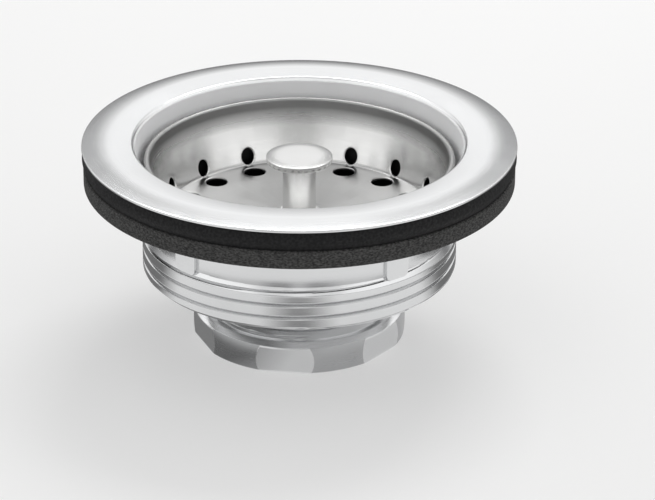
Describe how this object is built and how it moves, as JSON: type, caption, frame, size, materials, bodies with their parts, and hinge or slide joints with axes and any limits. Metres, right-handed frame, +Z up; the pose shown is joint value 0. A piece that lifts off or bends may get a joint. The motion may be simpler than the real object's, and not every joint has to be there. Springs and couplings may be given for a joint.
{
  "type": "basket strainer waste",
  "caption": "Kitchen sink basket strainer waste: flanged cast body with a lift-out perforated basket and stopper, sealing washers and a slip nut for the tail pipe.",
  "frame": {"origin": "on the axis, at the underside of the slip nut, which the part stands on", "axes": "+Z up along the axis, out of the sink; -Y is the front in the picture"},
  "size_m": [0.114, 0.114, 0.0549],
  "materials": {
    "bright_chrome": "polished",
    "nut_chrome": "satin",
    "basket_steel": "polished",
    "stem_brass": "satin",
    "black_rubber": "matte",
    "grey_fibre": "matte"
  },
  "bodies": {
    "body": {"strainer_body": "bright_chrome", "rubber_gasket": "black_rubber", "fibre_washer": "grey_fibre"},
    "basket": {"basket_cup": "basket_steel", "basket_post": "basket_steel", "lift_knob": "basket_steel", "stopper_seal": "black_rubber", "seal_retainer": "basket_steel", "catch_stem": "stem_brass", "catch_spring": "basket_steel"},
    "slip_ring": {"slip_washer": "black_rubber"},
    "nut": {"slip_nut": "nut_chrome"}
  },
  "joints": [
    {"name": "basket_lift", "type": "slide", "parent": "body", "child": "basket", "axis": [0, 0, 1], "range_m": [0, 0.008], "deforming": ["catch_spring"]},
    {"name": "nut_travel", "type": "slide", "parent": "body", "child": "slip_ring", "axis": [0, 0, -1], "range_m": [0, 0.0035]},
    {"name": "nut_turn", "type": "hinge", "parent": "slip_ring", "child": "nut", "pos_m": [0, 0, 0.00425], "axis": [0, 0, -1], "range_deg": [0, 540]}
  ],
  "couplings": [
    {"joint": "nut_travel", "follows": "nut_turn", "m_per_rad": 0.0003675}
  ]
}
